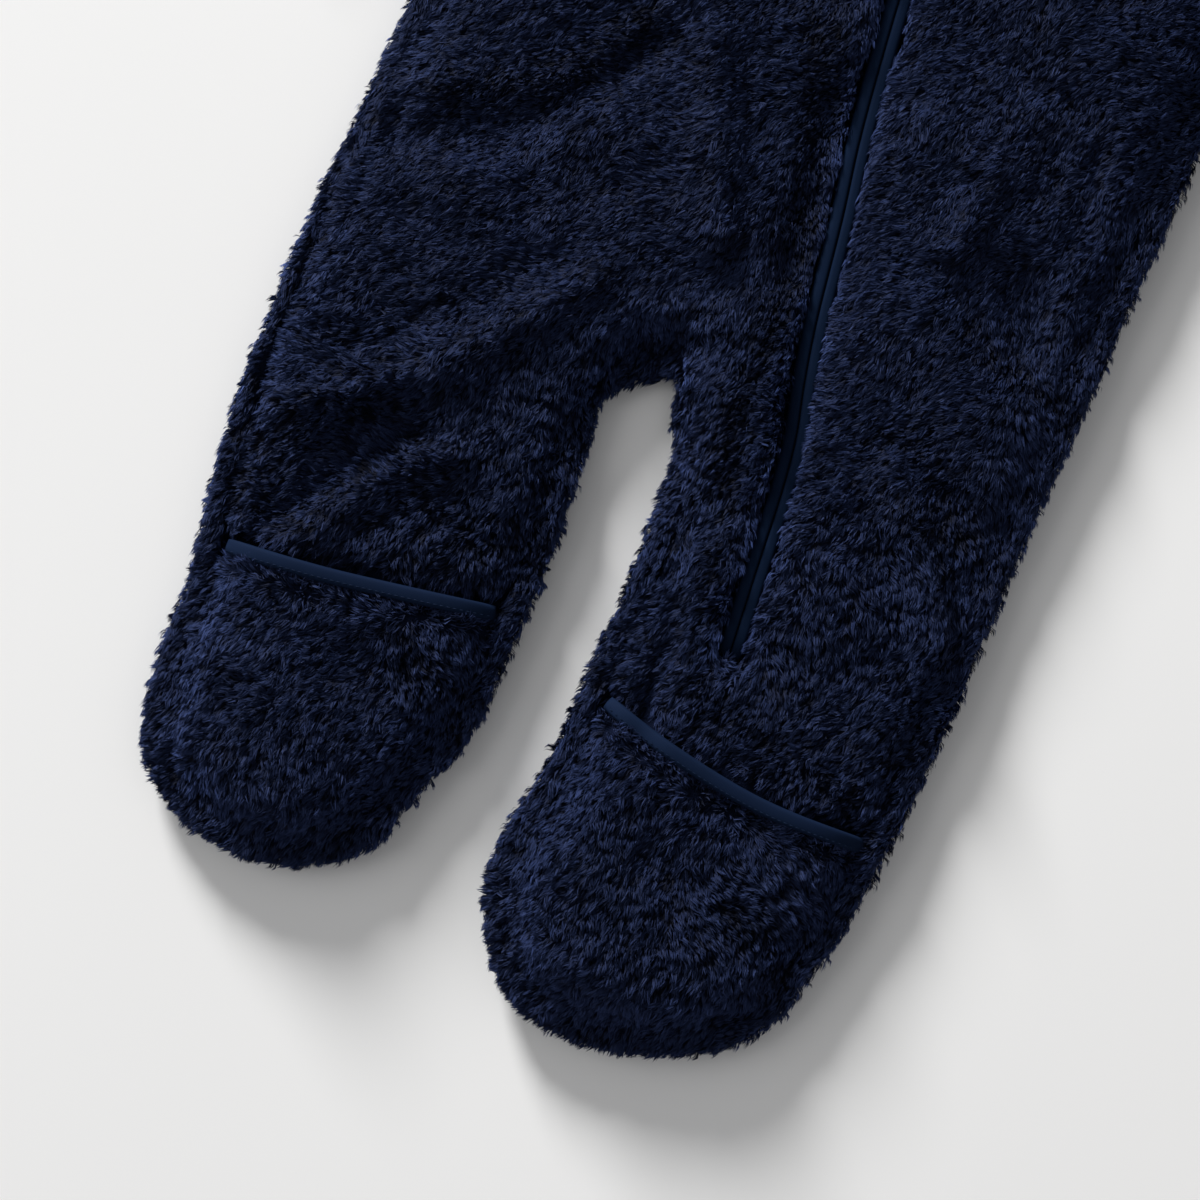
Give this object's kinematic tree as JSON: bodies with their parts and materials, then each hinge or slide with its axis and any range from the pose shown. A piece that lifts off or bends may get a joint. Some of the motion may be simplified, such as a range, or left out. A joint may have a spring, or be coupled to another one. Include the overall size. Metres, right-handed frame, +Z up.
{
  "type": "footed onesie pajama",
  "caption": "Baby's deep-pile fleece overall laid flat on its back: long sleeves, footed legs with bound turn-over foot covers, and a zip slanting from neck to one shin",
  "frame": {"origin": "middle of the garment's box, on the surface it lies on", "axes": "+Y from the feet to the neck, +X to the wearer's left, +Z up from the surface, out of the front"},
  "size_m": [0.582, 0.6234, 0.0303],
  "materials": {
    "fleece": "deep pile, matt",
    "binding": "smooth knit binding",
    "zip_tape": "woven tape with plastic coil behind",
    "slider": "dark lacquer"
  },
  "bodies": {
    "garment": {"back": "fleece", "front_right": "fleece", "front_left": "fleece", "foot_cover_right": "fleece", "foot_cover_left": "fleece", "sleeve_right": "fleece", "sleeve_left": "fleece", "foot_binding_right": "binding", "foot_binding_left": "binding", "cuff_binding_right": "binding", "cuff_binding_left": "binding", "neck_binding_right": "binding", "neck_binding_left": "binding", "neck_binding_back": "binding", "zip_tape_right": "zip_tape", "zip_tape_left": "zip_tape", "zip_slider": "slider"},
    "pull_tab": {"zip_pull": "slider"}
  },
  "joints": [
    {"name": "pull_tab_hinge", "type": "hinge", "parent": "garment", "child": "pull_tab", "pos_m": [0.00463, 0.25234, 0.0193], "axis": [-0.9921, -0.1256, 0], "range_deg": [0, 170]}
  ]
}
